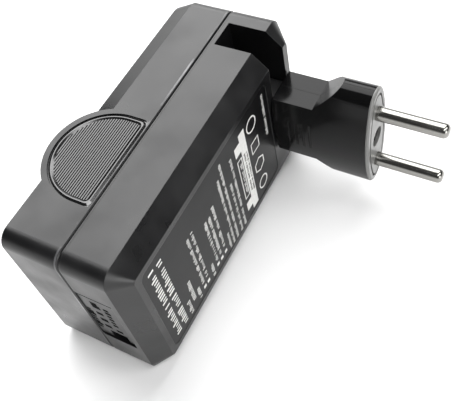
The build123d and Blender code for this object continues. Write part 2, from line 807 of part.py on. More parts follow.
# Supply springs: from the board through the pocket wall to the blades' ends
with BuildPart() as supply_springs:
    spring_start_x = board_end_x - spring_setback
    spring_end_x = plug_x + spring_overlap
    with BuildSketch(Plane.XY.offset(mid_z)):
        with Locations((spring_start_x, spring_y)):
            Rectangle(spring_end_x - spring_start_x, spring_thickness, align=Align.MIN)
        with Locations((spring_start_x, board_top_y)):
            Rectangle(spring_thickness, spring_y - board_top_y, align=Align.MIN)
    extrude(amount=blade_z + spring_width / 2, both=True)
    with BuildSketch(Plane.XY.offset(mid_z)):
        with Locations((spring_start_x, board_top_y)):
            Rectangle(housing_length, rear_depth, align=Align.MIN)
    extrude(amount=blade_z - spring_width / 2, both=True, mode=Mode.SUBTRACT)
supply_springs.part.label = "supply_springs"

# Adapter form: a head of oval section narrowed to a plain block where it meets the charger
rear_y = label_y - seat_gap
shoulder_y = label_y - base_length
crown_y = label_y - crown_start
shell_face_y = face_y + cap_thickness
carrier_back_y = face_y + carrier_depth
socket_plate_y = label_y - socket_back


def adapter_profile():
    with BuildSketch(Plane.YZ.offset(plug_x)) as section:
        with BuildLine():
            upper = Polyline(
                (rear_y, mid_z),
                (rear_y, mid_z + base_height / 2),
                (shoulder_y, mid_z + base_height / 2),
                (crown_y, mid_z + head_height / 2),
                (shell_face_y, mid_z + head_height / 2),
                (shell_face_y, mid_z),
            )
            mirror(upper, about=Plane.XZ.offset(-mid_z))
        make_face()
    return section.sketch


with BuildPart() as adapter_form:
    extrude(adapter_profile(), amount=head_thickness, both=True)
    extrude(head_outline(rear_y, 0), amount=rear_y - shell_face_y, mode=Mode.INTERSECT)

    # Seam groove between the half shells
    with BuildSketch(Plane.YZ.offset(plug_x)):
        add(adapter_profile())
        offset(amount=-seam_groove, mode=Mode.SUBTRACT)
    extrude(amount=seam_groove / 2, both=True, mode=Mode.SUBTRACT)

    # Grip grooves across each broad side
    side_span = head_thickness
    for groove in range(grip_count):
        grip_y = label_y - grip_start - groove * grip_pitch
        with BuildSketch(Plane.XZ.offset(-grip_y)):
            with Locations((plug_x, mid_z)):
                with GridLocations(side_span, 0, 2, 1):
                    Rectangle(2 * grip_depth, grip_height)
        extrude(amount=grip_width, mode=Mode.SUBTRACT)

    # Seat for the pin carrier, then the rooms for the sockets, the blades and the screw
    seat_depth = carrier_depth - cap_thickness
    extrude(head_outline(shell_face_y, rim_width), amount=-seat_depth, mode=Mode.SUBTRACT)
    leaf_reach = blade_thickness / 2 + spring_gap + socket_leaf
    with BuildSketch(Plane.YZ.offset(plug_x)):
        for side in (1, -1):
            room_low = blade_z - leaf_reach - socket_room
            room_high = blade_z + leaf_reach + socket_room
            plate_high = pin_spacing / 2 + socket_plate_reach + socket_room
            leaf_room_y = (carrier_back_y + label_y - socket_mouth + socket_room) / 2
            leaf_room = label_y - socket_mouth + socket_room - carrier_back_y
            with Locations((leaf_room_y, mid_z + side * (room_low + room_high) / 2)):
                Rectangle(leaf_room, room_high - room_low)
            plate_room = socket_plate_y + socket_room - carrier_back_y
            plate_room_y = carrier_back_y + plate_room / 2
            with Locations((plate_room_y, mid_z + side * (room_low + plate_high) / 2)):
                Rectangle(plate_room, plate_high - room_low)
    extrude(amount=socket_width / 2 + socket_room, both=True, mode=Mode.SUBTRACT)
    with BuildSketch(Plane.XZ.offset(-rear_y)):
        with Locations((plug_x, mid_z)):
            with GridLocations(0, blade_spacing, 1, 2):
                Rectangle(blade_width + 2 * blade_room, blade_thickness + 2 * blade_room)
    extrude(amount=socket_mouth, mode=Mode.SUBTRACT)
    with BuildSketch(Plane.XZ.offset(-carrier_back_y)):
        with Locations((plug_x, mid_z)):
            Circle(screw_diameter / 2)
    extrude(amount=-screw_length, mode=Mode.SUBTRACT)

with BuildPart() as adapter_shell_near:
    add(adapter_form.part)
    split(bisect_by=Plane.YZ.offset(plug_x), keep=Keep.BOTTOM)
adapter_shell_near.part.label = "adapter_shell_near"

with BuildPart() as adapter_shell_far:
    add(adapter_form.part)
    split(bisect_by=Plane.YZ.offset(plug_x), keep=Keep.TOP)
adapter_shell_far.part.label = "adapter_shell_far"

# Pin carrier: a flanged plug that closes the head, with a hole for each pin and a sunk screw
with BuildPart() as pin_carrier:
    extrude(head_outline(face_y, 0), amount=-cap_thickness)
    chamfer(pin_carrier.faces().sort_by(Axis.Y)[0].edges(), face_chamfer)
    extrude(head_outline(shell_face_y, rim_width + carrier_clearance), amount=-seat_depth)
    with BuildSketch(Plane.XZ.offset(-face_y)):
        add(head_outline(0, face_groove_inset))
        add(head_outline(0, face_groove_inset + face_groove), mode=Mode.SUBTRACT)
    extrude(amount=-face_groove_depth, mode=Mode.SUBTRACT)
    with BuildSketch(Plane.XZ.offset(-face_y)):
        with Locations((plug_x, mid_z)):
            with GridLocations(0, pin_spacing, 1, 2):
                Circle(pin_shank_diameter / 2)
            Circle(screw_diameter / 2)
    extrude(amount=-carrier_depth, mode=Mode.SUBTRACT)
    with BuildSketch(Plane.XZ.offset(-face_y)):
        with Locations((plug_x, mid_z)):
            Circle(screw_recess_diameter / 2)
    extrude(amount=-screw_recess_depth, mode=Mode.SUBTRACT)
pin_carrier.part.label = "pin_carrier"

# Round mains pins, with a thinner shank through the carrier
with BuildPart() as mains_pins:
    pin_root_y = socket_plate_y - socket_leaf
    with BuildSketch(Plane.XZ.offset(-face_y)):
        with Locations((plug_x, mid_z)):
            with GridLocations(0, pin_spacing, 1, 2):
                Circle(pin_diameter / 2)
    extrude(amount=face_y - pin_tip_y)
    fillet(mains_pins.faces().group_by(Axis.Y)[0].edges(), pin_tip_radius)
    with BuildSketch(Plane.XZ.offset(-face_y)):
        with Locations((plug_x, mid_z)):
            with GridLocations(0, pin_spacing, 1, 2):
                Circle(pin_shank_diameter / 2)
    extrude(amount=face_y - pin_root_y)
mains_pins.part.label = "mains_pins"

# Blade sockets: two leaves either side of each blade, joined by a plate that carries the pin
with BuildPart() as blade_sockets:
    leaf_length = socket_back - socket_mouth
    leaf_z = blade_thickness / 2 + spring_gap + socket_leaf / 2
    plate_low = blade_z - leaf_z - socket_leaf / 2
    plate_end = pin_spacing / 2 + socket_plate_reach
    with BuildSketch(Plane.YZ.offset(plug_x)):
        for side in (1, -1):
            with Locations((socket_plate_y + leaf_length / 2, mid_z + side * blade_z)):
                with GridLocations(0, 2 * leaf_z, 1, 2):
                    Rectangle(leaf_length, socket_leaf)
            with Locations((socket_plate_y - socket_leaf / 2, mid_z + side * (plate_low + plate_end) / 2)):
                Rectangle(socket_leaf, plate_end - plate_low)
    extrude(amount=socket_width / 2, both=True)
blade_sockets.part.label = "blade_sockets"

# Screw that holds the carrier and both half shells
with BuildPart() as adapter_screw:
    screw_seat_y = face_y + screw_recess_depth
    with BuildSketch(Plane.XZ.offset(-screw_seat_y)):
        with Locations((plug_x, mid_z)):
            Circle(screw_head_diameter / 2)
    extrude(amount=screw_head_height)
    with BuildSketch(Plane.XZ.offset(-(screw_seat_y - screw_head_height))):
        with Locations((plug_x, mid_z)):
            Rectangle(screw_head_diameter, screw_slot)
            Rectangle(screw_slot, screw_head_diameter)
    extrude(amount=-screw_slot_depth, mode=Mode.SUBTRACT)
    with BuildSketch(Plane.XZ.offset(-screw_seat_y)):
        with Locations((plug_x, mid_z)):
            Circle(screw_diameter / 2)
    extrude(amount=-screw_length)
adapter_screw.part.label = "adapter_screw"

pieces = [
    rear_housing.part,
    front_housing.part,
    battery_plate.part,
    rating_label.part,
    dc_jack.part,
    circuit_board.part,
    transformer_core.part,
    transformer_bobbin.part,
    transformer_winding.part,
    mains_capacitor,
    output_capacitor,
    safety_capacitor.part,
    fuse,
    output_diode,
    bridge_rectifier,
    control_chip,
    opto_coupler,
    noise_choke.part,
    switching_transistor.part,
    charge_lamp.part,
    light_pipe.part,
    battery_contacts.part,
    plug_drum.part,
    plug_blades.part,
    drum_pivot.part,
    supply_springs.part,
    adapter_shell_near.part,
    adapter_shell_far.part,
    pin_carrier.part,
    mains_pins.part,
    blade_sockets.part,
    adapter_screw.part,
]
os.makedirs("parts", exist_ok=True)
for piece in pieces:
    export_step(piece, f"parts/{piece.label}.step")
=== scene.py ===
import math

import bmesh
import bpy
from mathutils import Matrix, Vector


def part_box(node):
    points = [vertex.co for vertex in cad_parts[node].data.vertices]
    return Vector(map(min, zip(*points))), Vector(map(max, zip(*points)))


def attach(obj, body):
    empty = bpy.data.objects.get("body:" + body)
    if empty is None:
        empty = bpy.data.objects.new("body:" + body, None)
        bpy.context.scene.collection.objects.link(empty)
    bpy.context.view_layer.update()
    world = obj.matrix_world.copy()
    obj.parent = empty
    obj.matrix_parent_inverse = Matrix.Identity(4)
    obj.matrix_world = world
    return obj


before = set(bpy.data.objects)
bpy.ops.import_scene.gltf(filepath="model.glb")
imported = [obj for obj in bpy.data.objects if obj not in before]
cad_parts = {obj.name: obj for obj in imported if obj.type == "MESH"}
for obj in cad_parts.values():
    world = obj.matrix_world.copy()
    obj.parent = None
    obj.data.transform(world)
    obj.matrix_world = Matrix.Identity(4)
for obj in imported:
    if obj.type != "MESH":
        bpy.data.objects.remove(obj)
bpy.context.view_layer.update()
mm = 0.001
mixA, mixB, mixOut = 6, 7, 2  # a Mix node's colour sockets, whose names its number sockets share
print("frame loaded,", len(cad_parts), "nodes")


def linear(hexText):
    channels = [int(hexText[i:i + 2], 16) / 255 for i in (1, 3, 5)]
    return tuple(c / 12.92 if c <= 0.04045 else ((c + 0.055) / 1.055) ** 2.4 for c in channels) + (1.0,)


def patternScale(sizeMm):
    return 1 / (sizeMm * mm)  # a texture's scale counts features per metre


def addNode(tree, kind, inputs=None, **settings):
    node = tree.nodes.new(kind)
    for name, value in settings.items():
        setattr(node, name, value)
    for name, value in (inputs or {}).items():
        if isinstance(value, bpy.types.NodeSocket):
            tree.links.new(value, node.inputs[name])
        else:
            node.inputs[name].default_value = value
    return node


def startMaterial(name, colour, roughness, ior=1.5, metallic=0.0, gloss=0.5):
    material = bpy.data.materials.new(name)
    material.use_nodes = True
    tree = material.node_tree
    shader = tree.nodes["Principled BSDF"]
    shader.inputs["Base Color"].default_value = linear(colour)
    shader.inputs["Roughness"].default_value = roughness
    shader.inputs["IOR"].default_value = ior
    shader.inputs["Specular IOR Level"].default_value = gloss
    shader.inputs["Metallic"].default_value = metallic
    place = addNode(tree, "ShaderNodeTexCoord").outputs["Object"]
    return material, tree, shader, place


def tintAndBump(tree, shader, tint, height, finish):
    # one pattern mixes the two colours and one, often the same, raises the surface
    tone = addNode(tree, "ShaderNodeMix", {
        "Factor": tint, mixA: linear(finish["low"]), mixB: linear(finish["high"]),
    }, data_type="RGBA")
    bump = addNode(tree, "ShaderNodeBump", {
        "Height": height, "Strength": finish["bump"], "Distance": finish["depthMm"] * mm,
    })
    tree.links.new(tone.outputs[mixOut], shader.inputs["Base Color"])
    tree.links.new(bump.outputs["Normal"], shader.inputs["Normal"])


# What all moulded plastics share, unless their own finish says otherwise
mouldedLook = {
    "ior": 1.54, "gloss": 0.5, "edgeSamples": 6,
    "patchDetail": 3.0, "patchSpan": (0.3, 0.7),  # noise values that get the two ends of the sheen
    "grainDetail": 2.0, "grainRoughness": 0.6, "grainBump": 0.35,
}

# Housing: ABS moulded in a spark-eroded tool, so black with a fine even grain and a soft sheen
housingFinish = {
    "dark": "#0b0b0c", "light": "#0f0f10", "sheen": (0.24, 0.44), "gloss": 0.44,
    "grainMm": 0.3,  # the real grain is about 0.05 mm, drawn coarser so that it shows
    "grainDepthMm": 0.012, "patchMm": 14.0, "edgeMm": 0.22,
}

# Finger ears, millimetres: the same ABS, polished on the bead, rubbed shiny on the tops of the ridges
# inside it and dull between them
earFinish = {
    "earCentre": (-14.7, 27.55), "beadRadius": 12.93, "beadFoot": 23.28, "beadWidth": 1.35,
    "zoneSheen": (0.14, 0.24, 1.0), "zoneCoat": (1.0, 0.7, 0.0),  # bead, ridge tops, floors between
    "coatSheen": 0.14, "edgeMm": 0.03,
    "skinDepth": 1.0, "floorDepth": 0.42,  # below the side face: where the ears' finish and the tops end
    "glintPaint": "#727274", "glintPaintMiddle": 22.3, "glintPaintWidth": 0.5,  # painted highlight: pale patches beside the parting line, standing in for glints of light on its bevel
    "glintPaintMm": 8.0, "glintPaintDetail": 4.0, "glintPaintSpan": (0.46, 0.66),
}


def rubEarsPaintGlints(tree, shader, place, rough, colour, look):
    # how far a point lies outside the bead's middle line, an arch over a straight foot
    x, y = look["earCentre"]
    shifted = addNode(tree, "ShaderNodeVectorMath", {
        0: place, 1: (x * mm, y * mm, 0),
    }, operation="SUBTRACT")
    spot = addNode(tree, "ShaderNodeSeparateXYZ", {0: shifted.outputs[0]}).outputs
    above = addNode(tree, "ShaderNodeMath", {0: spot["Y"], 1: 0.0}, operation="MAXIMUM")
    flat = addNode(tree, "ShaderNodeCombineXYZ", {"X": spot["X"], "Y": above.outputs[0]})
    away = addNode(tree, "ShaderNodeVectorMath", {0: flat.outputs[0]}, operation="LENGTH")
    arch = addNode(tree, "ShaderNodeMath", {
        0: away.outputs["Value"], 1: look["beadRadius"] * mm,
    }, operation="SUBTRACT")
    foot = addNode(tree, "ShaderNodeMath", {
        0: (look["beadFoot"] - y) * mm, 1: spot["Y"],
    }, operation="SUBTRACT")
    outside = addNode(tree, "ShaderNodeMath", {
        0: arch.outputs[0], 1: foot.outputs[0],
    }, operation="MAXIMUM").outputs[0]

    # how far it lies from the middle of the housing's width, the same for both ears
    low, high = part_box("front_housing")
    reach = (high.z - low.z) / 2
    level = addNode(tree, "ShaderNodeMath", {0: spot["Z"], 1: low.z + reach}, operation="SUBTRACT")
    height = addNode(tree, "ShaderNodeMath", {0: level.outputs[0]}, operation="ABSOLUTE").outputs[0]
    skin = addNode(tree, "ShaderNodeMath", {
        0: height, 1: reach - look["skinDepth"] * mm,
    }, operation="GREATER_THAN").outputs[0]
    sunk = addNode(tree, "ShaderNodeMath", {
        0: height, 1: reach - look["floorDepth"] * mm,
    }, operation="LESS_THAN").outputs[0]

    # zones, each within the one before: bead, ridges, floors between the ridges
    half = look["beadWidth"] / 2 * mm
    zones = []
    for limit in (half, -half):
        within = addNode(tree, "ShaderNodeMath", {0: outside, 1: limit}, operation="LESS_THAN")
        zones.append(addNode(tree, "ShaderNodeMath", {
            0: within.outputs[0], 1: skin,
        }, operation="MULTIPLY").outputs[0])
    zones.append(addNode(tree, "ShaderNodeMath", {0: zones[1], 1: sunk}, operation="MULTIPLY").outputs[0])
    for socket, value, zoneValues in (
        ("Roughness", rough, look["zoneSheen"]), ("Coat Weight", 0.0, look["zoneCoat"]),
    ):
        for zone, zoneValue in zip(zones, zoneValues):
            value = addNode(tree, "ShaderNodeMix", {
                "Factor": zone, "A": value, "B": zoneValue,
            }).outputs["Result"]
        tree.links.new(value, shader.inputs[socket])
    shader.inputs["Coat Roughness"].default_value = look["coatSheen"]

    # the colour, with painted highlights: pale patches along a narrow band beside the parting line stand in
    # for glints of light on its bevel
    glintNoise = addNode(tree, "ShaderNodeTexNoise", {
        "Vector": place, "Scale": patternScale(look["glintPaintMm"]), "Detail": look["glintPaintDetail"],
    })
    patchy = addNode(tree, "ShaderNodeMapRange", {
        "Value": glintNoise.outputs["Fac"], "From Min": look["glintPaintSpan"][0], "From Max": look["glintPaintSpan"][1],
    })
    band = addNode(tree, "ShaderNodeMath", {
        0: spot["Y"], 1: (look["glintPaintMiddle"] - y) * mm, 2: look["glintPaintWidth"] / 2 * mm,
    }, operation="COMPARE")
    glintPainted = addNode(tree, "ShaderNodeMath", {
        0: patchy.outputs["Result"], 1: band.outputs[0],
    }, operation="MULTIPLY")
    return addNode(tree, "ShaderNodeMix", {
        "Factor": glintPainted.outputs[0], mixA: colour, mixB: linear(look["glintPaint"]),
    }, data_type="RGBA").outputs[mixOut]


def mouldedPlastic(name, finish):
    look = mouldedLook | finish
    shiniest, dullest = look["sheen"]
    material, tree, shader, place = startMaterial(
        name, look["dark"], shiniest, look["ior"], gloss=look["gloss"]
    )
    patch = addNode(tree, "ShaderNodeTexNoise", {
        "Vector": place, "Scale": patternScale(look["patchMm"]), "Detail": look["patchDetail"],
    }).outputs["Fac"]
    rough = addNode(tree, "ShaderNodeMapRange", {
        "Value": patch, "From Min": look["patchSpan"][0], "From Max": look["patchSpan"][1],
        "To Min": shiniest, "To Max": dullest,
    }).outputs["Result"]
    colour = addNode(tree, "ShaderNodeMix", {
        "Factor": patch, mixA: linear(look["dark"]), mixB: linear(look["light"]),
    }, data_type="RGBA").outputs[mixOut]
    edge = addNode(tree, "ShaderNodeBevel", {"Radius": look["edgeMm"] * mm}, samples=look["edgeSamples"])
    grain = addNode(tree, "ShaderNodeTexNoise", {
        "Vector": place, "Scale": patternScale(look["grainMm"]),
        "Detail": look["grainDetail"], "Roughness": look["grainRoughness"],
    })
    bump = addNode(tree, "ShaderNodeBump", {
        "Height": grain.outputs["Fac"], "Strength": look["grainBump"],
        "Distance": look["grainDepthMm"] * mm, "Normal": edge.outputs["Normal"],
    })
    if "earCentre" in look:
        colour = rubEarsPaintGlints(tree, shader, place, rough, colour, look)
    else:
        tree.links.new(rough, shader.inputs["Roughness"])
    tree.links.new(colour, shader.inputs["Base Color"])
    tree.links.new(bump.outputs["Normal"], shader.inputs["Normal"])
    return material


# Adapter: ABS moulded in a polished tool, so black and glossy with faint handling smears
adapterFinish = {
    "dark": "#090909", "light": "#0d0d0e", "sheen": (0.1, 0.18), "gloss": 0.17,
    "grainMm": 1.2, "grainDepthMm": 0.004, "patchMm": 5.0, "edgeMm": 0.18,
}

# Label: polyester film, black and flat, more even than the housing and a little duller
labelFinish = {
    "dark": "#09090a", "light": "#0c0c0d", "sheen": (0.32, 0.4), "gloss": 0.2,
    "grainMm": 0.5, "grainDepthMm": 0.006, "patchMm": 20.0, "edgeMm": 0.1,
}

# Pin carrier: glass-filled nylon, mid grey with a dull skin
carrierFinish = {
    "dark": "#676766", "light": "#777775", "sheen": (0.3, 0.42),
    "grainMm": 0.4, "grainDepthMm": 0.006, "patchMm": 3.0, "edgeMm": 0.15,
}

# Component cases: black moulded epoxy with a matt skin
epoxyFinish = {
    "dark": "#1a1a1b", "light": "#252526", "sheen": (0.5, 0.62),
    "grainMm": 0.25, "grainDepthMm": 0.01, "patchMm": 2.0, "edgeMm": 0.1,
}

# Disc capacitor and fuse: dipped blue resin, smooth and wet-looking
resinFinish = {
    "dark": "#2a4f86", "light": "#355f9b", "sheen": (0.2, 0.34),
    "grainMm": 1.5, "grainDepthMm": 0.03, "patchMm": 3.0, "edgeMm": 0.2,
}

# Bobbin, drum and jack: black nylon, a little waxy
nylonFinish = {
    "dark": "#141415", "light": "#1b1b1c", "sheen": (0.36, 0.48),
    "grainMm": 0.4, "grainDepthMm": 0.008, "patchMm": 6.0, "edgeMm": 0.15,
}

# Sleeve on the can capacitors: dark blue shrunk film, glossy and slightly wavy
sleeveFinish = {
    "dark": "#1c2340", "light": "#252d50", "sheen": (0.18, 0.3),
    "grainMm": 2.0, "grainDepthMm": 0.02, "patchMm": 4.0, "edgeMm": 0.1,
}

# Charge lamp: cast red epoxy, smooth and glossy
lampFinish = {
    "dark": "#9c1c18", "light": "#b72a22", "sheen": (0.2, 0.3),
    "grainMm": 0.6, "grainDepthMm": 0.004, "patchMm": 2.0, "edgeMm": 0.1,
}

# Board: green solder mask on glass cloth, whose weave shows through as a fine check
boardFinish = {
    "low": "#17502f", "high": "#0f3b22", "roughness": 0.32, "ior": 1.55,
    "trackMm": 3.0, "trackScatter": 0.4, "weaveMm": 0.6, "bump": 0.2, "depthMm": 0.01,
}


def laminate(name, finish):
    material, tree, shader, place = startMaterial(name, finish["high"], finish["roughness"], finish["ior"])
    tracks = addNode(tree, "ShaderNodeTexVoronoi", {
        "Vector": place, "Scale": patternScale(finish["trackMm"]), "Randomness": finish["trackScatter"],
    }, distance="MANHATTAN", feature="F1")
    weave = addNode(tree, "ShaderNodeTexChecker", {
        "Vector": place, "Scale": patternScale(finish["weaveMm"]),
    })
    tintAndBump(tree, shader, tracks.outputs["Distance"], weave.outputs["Fac"], finish)
    return material


# Ferrite: sintered and ground, dark grey with a dry sparkle
ferriteFinish = {
    "low": "#2b2b2d", "high": "#3d3d40", "roughness": 0.6, "ior": 1.6,
    "speckMm": 0.35, "speckDetail": 4.0, "bump": 0.4, "depthMm": 0.03,
}


def sintered(name, finish):
    material, tree, shader, place = startMaterial(name, finish["low"], finish["roughness"], finish["ior"])
    speck = addNode(tree, "ShaderNodeTexNoise", {
        "Vector": place, "Scale": patternScale(finish["speckMm"]), "Detail": finish["speckDetail"],
    }).outputs["Fac"]
    tintAndBump(tree, shader, speck, speck, finish)
    return material


# Winding: enamelled copper laid in turns, which show as fine bands along the spool
windingFinish = {
    "low": "#5a2c12", "high": "#a4622e", "roughness": 0.28, "metallic": 0.8,
    "turnMm": 0.79,  # real turns are about half as wide, drawn coarser so that they show
    "waveRate": 20,  # radians that a wave texture runs through in one unit
    "waver": 0.4, "bump": 0.7, "depthMm": 0.1,
}


def woundCopper(name, finish):
    material, tree, shader, place = startMaterial(
        name, finish["high"], finish["roughness"], metallic=finish["metallic"]
    )
    bandScale = patternScale(finish["turnMm"]) * math.tau / finish["waveRate"]
    turns = addNode(tree, "ShaderNodeTexWave", {
        "Vector": place, "Scale": bandScale, "Distortion": finish["waver"],
    }, bands_direction="Y").outputs["Fac"]
    tintAndBump(tree, shader, turns, turns, finish)
    return material


# What all bare metals share
metalLook = {
    "lineDetail": 3.0, "lineSpan": (0.35, 0.7),  # noise values that get the two ends of the roughness
    "bump": 0.08, "depthMm": 0.01,
}

# Mains pins and blades: nickel-plated brass, bright with fine lines drawn along its length
nickelFinish = {"colour": "#93928e", "roughness": (0.12, 0.26), "lineMm": 0.12, "stretch": (1, 0.02, 1)}

# Springs and contacts: sprung brass strip, rolled, with the same fine lines
brassFinish = {"colour": "#b8924c", "roughness": (0.2, 0.34), "lineMm": 0.15, "stretch": (1, 1, 0.05)}

# Pivot: zinc-plated steel, bluish and dull
zincFinish = {"colour": "#a7abb0", "roughness": (0.25, 0.4), "lineMm": 0.2, "stretch": (1, 1, 1)}

# Screw: black-oxide steel, nearly black with an oily sheen
oxideFinish = {"colour": "#26272a", "roughness": (0.35, 0.5), "lineMm": 0.2, "stretch": (1, 1, 1)}


def drawnMetal(name, finish):
    look = metalLook | finish
    smoothest, roughest = look["roughness"]
    material, tree, shader, place = startMaterial(name, look["colour"], smoothest, metallic=1.0)
    lengthwise = addNode(tree, "ShaderNodeMapping", {"Vector": place, "Scale": look["stretch"]})
    lines = addNode(tree, "ShaderNodeTexNoise", {
        "Vector": lengthwise.outputs["Vector"], "Scale": patternScale(look["lineMm"]),
        "Detail": look["lineDetail"],
    }).outputs["Fac"]
    sheen = addNode(tree, "ShaderNodeMapRange", {
        "Value": lines, "From Min": look["lineSpan"][0], "From Max": look["lineSpan"][1],
        "To Min": smoothest, "To Max": roughest,
    })
    bump = addNode(tree, "ShaderNodeBump", {
        "Height": lines, "Strength": look["bump"], "Distance": look["depthMm"] * mm,
    })
    tree.links.new(sheen.outputs["Result"], shader.inputs["Roughness"])
    tree.links.new(bump.outputs["Normal"], shader.inputs["Normal"])
    return material


# Light pipe: clear cast acrylic, faintly streaked
pipeFinish = {
    "colour": "#f2f4f4", "roughness": 0.06, "ior": 1.49, "clearness": 0.95,
    "streakMm": 1.0, "bump": 0.05, "depthMm": 0.05,
}


def castAcrylic(name, finish):
    material, tree, shader, place = startMaterial(name, finish["colour"], finish["roughness"], finish["ior"])
    shader.inputs["Transmission Weight"].default_value = finish["clearness"]
    streak = addNode(tree, "ShaderNodeTexNoise", {
        "Vector": place, "Scale": patternScale(finish["streakMm"]),
    })
    bump = addNode(tree, "ShaderNodeBump", {
        "Height": streak.outputs["Fac"], "Strength": finish["bump"], "Distance": finish["depthMm"] * mm,
    })
    tree.links.new(bump.outputs["Normal"], shader.inputs["Normal"])
    return material


# Print: screen-printed ink, a thin film that covers a little unevenly
inkLook = {"coverMm": 0.35, "coverDetail": 2.0}
whiteInkFinish = {"thin": "#c9c9c6", "full": "#efefec", "roughness": 0.55, "gloss": 0.5}
darkInkFinish = {"thin": "#0a0a0b", "full": "#040405", "roughness": 0.8, "gloss": 0.04}


def printedInk(name, finish):
    look = inkLook | finish
    material, tree, shader, place = startMaterial(
        name, look["full"], look["roughness"], gloss=look["gloss"]
    )
    cover = addNode(tree, "ShaderNodeTexNoise", {
        "Vector": place, "Scale": patternScale(look["coverMm"]), "Detail": look["coverDetail"],
    })
    tone = addNode(tree, "ShaderNodeMix", {
        "Factor": cover.outputs["Fac"], mixA: linear(look["thin"]), mixB: linear(look["full"]),
    }, data_type="RGBA")
    tree.links.new(tone.outputs[mixOut], shader.inputs["Base Color"])
    return material


blackAbs = mouldedPlastic("ABS, black, spark-textured moulding", housingFinish)
# the ears' material also carries painted highlights, pale patches beside the parting line
rubbedAbsPaintedGlints = mouldedPlastic("ABS, black, spark-textured moulding, rubbed ears", housingFinish | earFinish)
glossAbs = mouldedPlastic("ABS, black, polished moulding", adapterFinish)
labelFilm = mouldedPlastic("Polyester film, black, satin", labelFinish)
greyNylon = mouldedPlastic("Nylon, mid grey, glass-filled moulding", carrierFinish)
blackNylon = mouldedPlastic("Nylon, black, moulded", nylonFinish)
epoxy = mouldedPlastic("Epoxy, black, transfer-moulded", epoxyFinish)
blueResin = mouldedPlastic("Resin, blue, dipped", resinFinish)
blueSleeve = mouldedPlastic("Sleeve, dark blue, shrunk film", sleeveFinish)
redEpoxy = mouldedPlastic("Epoxy, red, cast", lampFinish)
boardLaminate = laminate("Glass epoxy laminate, green solder mask", boardFinish)
ferrite = sintered("Ferrite, sintered and ground", ferriteFinish)
copperWire = woundCopper("Copper wire, enamelled, wound", windingFinish)
nickelBrass = drawnMetal("Brass, nickel-plated, drawn", nickelFinish)
springBrass = drawnMetal("Brass, rolled strip", brassFinish)
zincSteel = drawnMetal("Steel, zinc-plated", zincFinish)
oxideSteel = drawnMetal("Steel, black oxide", oxideFinish)
clearAcrylic = castAcrylic("Acrylic, clear, cast", pipeFinish)
whiteInk = printedInk("Ink, white, screen-printed", whiteInkFinish)
darkInk = printedInk("Ink, black, screen-printed", darkInkFinish)

nodeFinish = {
    "rear_housing": blackAbs, "front_housing": rubbedAbsPaintedGlints, "battery_plate": blackAbs,
    "rating_label": labelFilm, "dc_jack": blackNylon, "circuit_board": boardLaminate,
    "transformer_core": ferrite, "transformer_bobbin": blackNylon, "transformer_winding": copperWire,
    "mains_capacitor": blueSleeve, "output_capacitor": blueSleeve, "safety_capacitor": blueResin,
    "fuse": blueResin, "output_diode": epoxy, "bridge_rectifier": epoxy, "control_chip": epoxy,
    "opto_coupler": epoxy, "noise_choke": ferrite, "switching_transistor": epoxy,
    "charge_lamp": redEpoxy, "light_pipe": clearAcrylic, "battery_contacts": springBrass,
    "plug_drum": blackNylon, "plug_blades": nickelBrass, "drum_pivot": zincSteel,
    "supply_springs": springBrass, "adapter_shell_near": glossAbs, "adapter_shell_far": glossAbs,
    "pin_carrier": greyNylon, "mains_pins": nickelBrass, "blade_sockets": springBrass,
    "adapter_screw": oxideSteel,
}
for node, finish in nodeFinish.items():
    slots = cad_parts[node].data.materials
    slots.clear()
    slots.append(finish)
print("finishes set on", len(nodeFinish), "nodes")


# Rows of plain blocks, as tall as the print they stand for: a line of points, some left out as
# gaps between words, with a block of uneven width and height on each of the rest
rowInputs = {
    "Row Length": "NodeSocketFloat", "Block Height": "NodeSocketFloat", "Block Pitch": "NodeSocketFloat",
    "Ink Thickness": "NodeSocketFloat", "Gap Share": "NodeSocketFloat", "Width Share": "NodeSocketFloat",
    "Seed": "NodeSocketInt", "Ink": "NodeSocketMaterial",
}
blockSpread = {"height": (0.55, 1.0), "width": (0.53, 1.0)}  # shares of the full block
randomLow, randomHigh, randomNumber, randomChoice = 2, 3, 1, 3  # a Random Value node's own sockets


